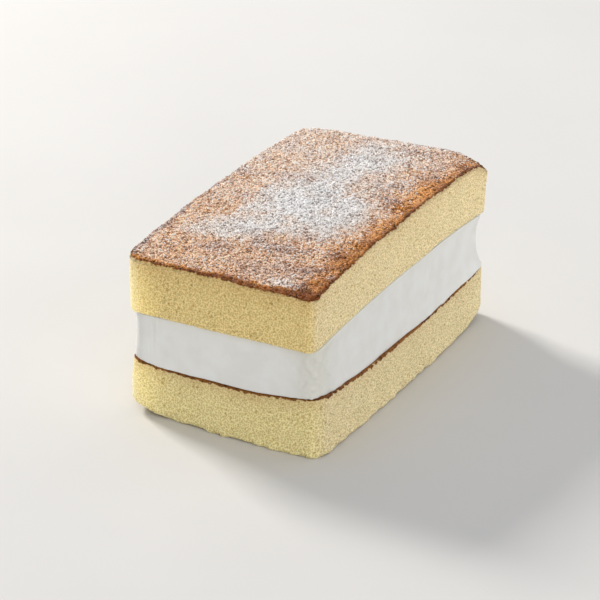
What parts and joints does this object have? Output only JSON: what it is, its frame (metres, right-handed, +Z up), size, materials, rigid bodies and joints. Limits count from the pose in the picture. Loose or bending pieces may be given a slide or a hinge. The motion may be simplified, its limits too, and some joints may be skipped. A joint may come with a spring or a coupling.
{
  "type": "cream sandwich cake",
  "caption": "Rectangular sponge cake sandwich with a thick whipped cream layer and a browned, sugar-dusted top, eaten by hand or with a fork.",
  "frame": {"origin": "under the middle of the cake, on the surface it stands on", "axes": "+Z up, +Y along the cake's length from its front end to its back end, +X across it to the right"},
  "size_m": [0.0622, 0.1048, 0.0525],
  "materials": {
    "lower_sponge": "fine yellow sponge crumb with a thin brown skin on its top",
    "cream": "smooth spread whipped cream",
    "upper_sponge": "browned crust dusted with icing sugar over fine yellow sponge crumb",
    "icing_sugar": "fine white powder in small clumps"
  },
  "bodies": {
    "root": {"lower_sponge": "lower_sponge", "cream_filling": "cream", "upper_sponge": "upper_sponge"}
  },
  "joints": []
}
